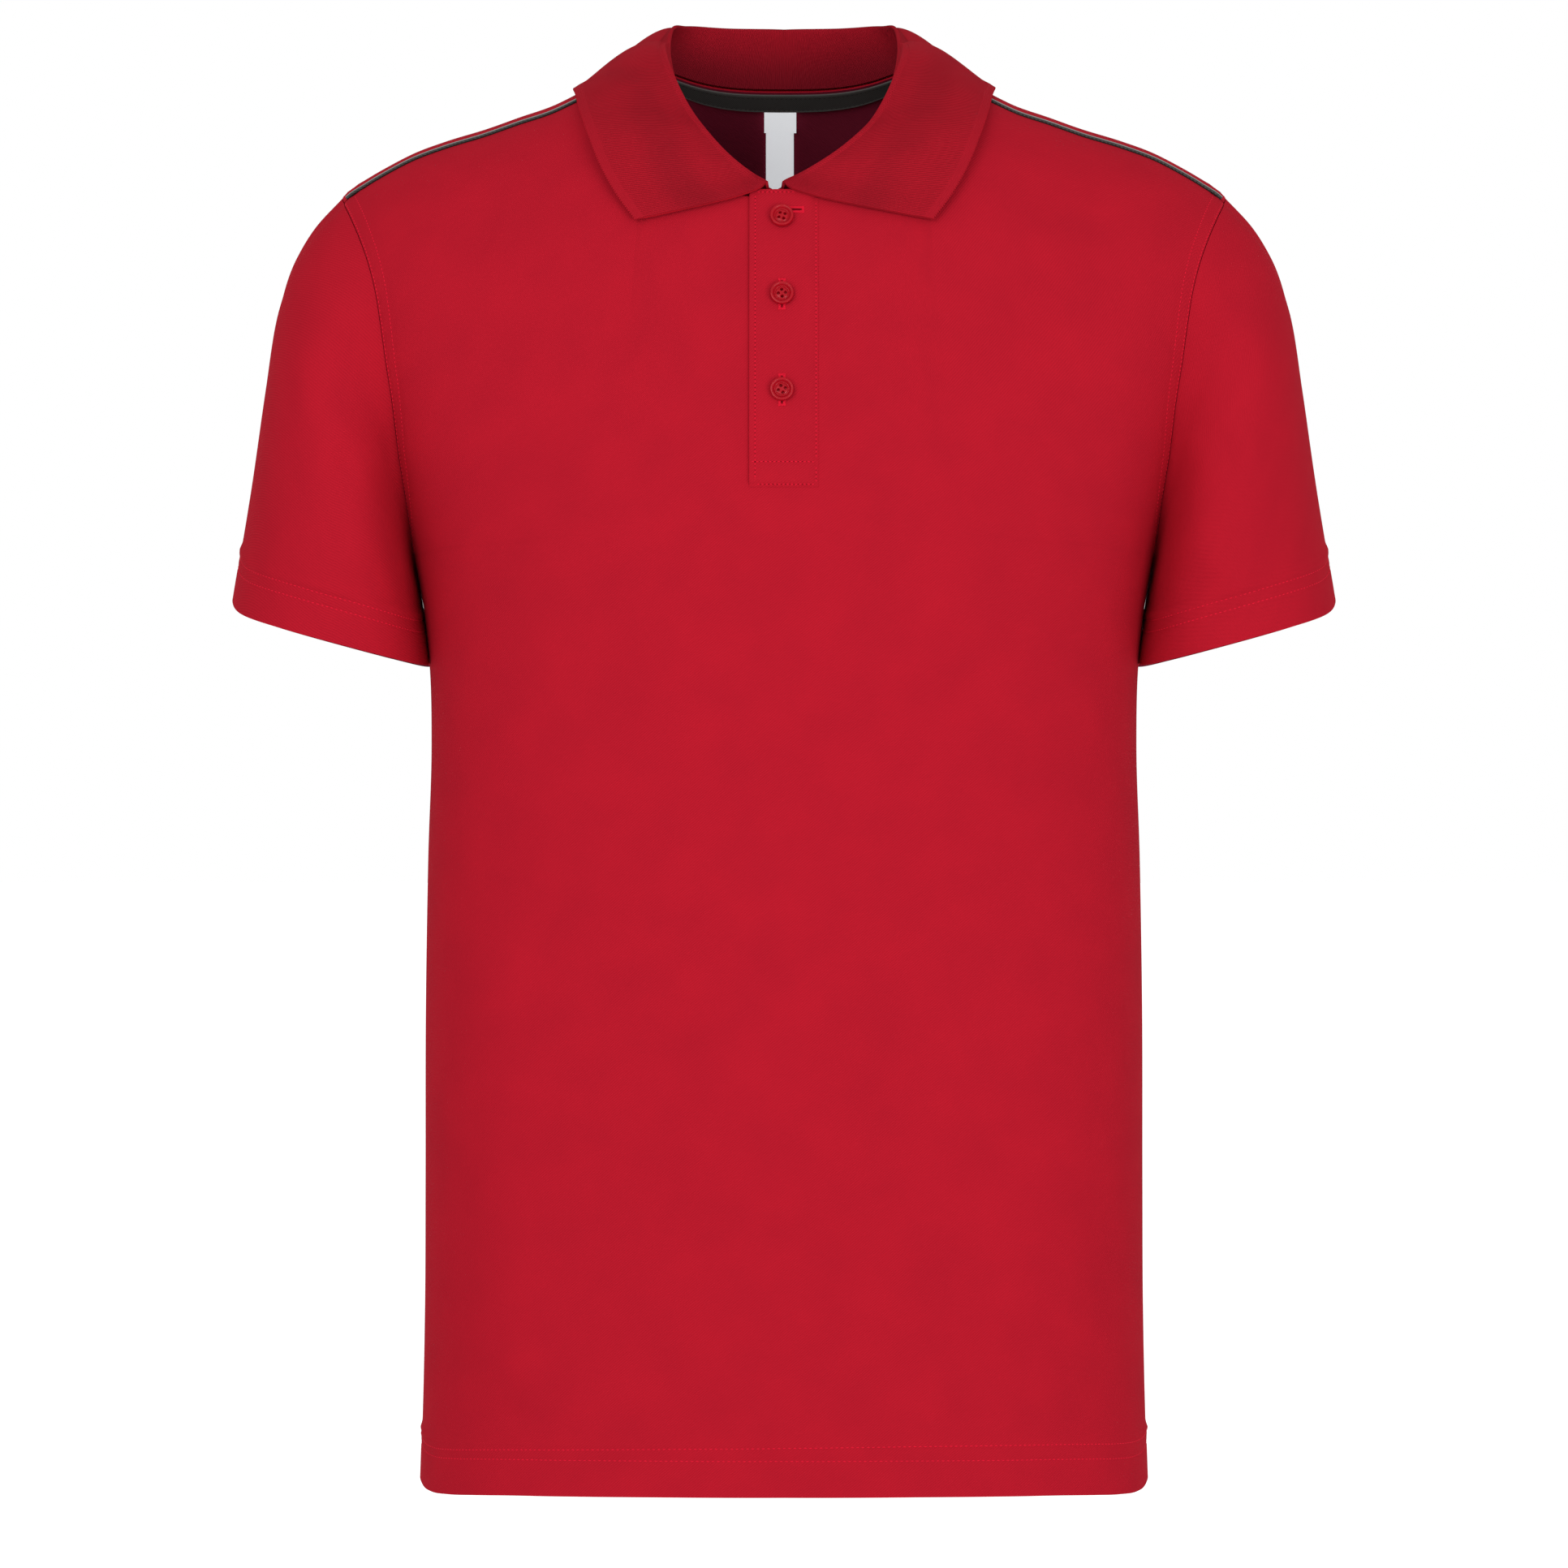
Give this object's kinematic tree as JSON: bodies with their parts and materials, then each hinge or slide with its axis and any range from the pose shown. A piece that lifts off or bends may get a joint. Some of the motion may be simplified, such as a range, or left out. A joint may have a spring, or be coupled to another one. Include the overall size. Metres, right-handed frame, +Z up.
{
  "type": "polo shirt",
  "caption": "Short-sleeved knitted polo shirt with a rib collar and a buttoned placket, hollow and filled out as if worn.",
  "frame": {"origin": "the middle of the neck base, where the wearer's neck and shoulders hold the shirt", "axes": "+Z up, +X to the viewer's right, the front with the placket faces -Y"},
  "size_m": [0.5424, 0.2356, 0.7226],
  "materials": {
    "red_knit": "fine matt micro-pique knit",
    "red_rib": "matt flat-knit rib",
    "red_resin": "polished resin",
    "dark_tape": "charcoal twill and cord",
    "white_satin": "white satin ribbon"
  },
  "bodies": {
    "root": {"front": "red_knit", "back": "red_knit", "sleeve_left": "red_knit", "sleeve_right": "red_knit", "placket_top": "red_knit", "placket_under": "red_knit", "collar": "red_rib", "button_1": "red_resin", "button_2": "red_resin", "button_3": "red_resin", "neck_tape": "dark_tape", "piping_left": "dark_tape", "piping_right": "dark_tape", "size_tab": "white_satin", "neck_label": "white_satin"}
  },
  "joints": []
}
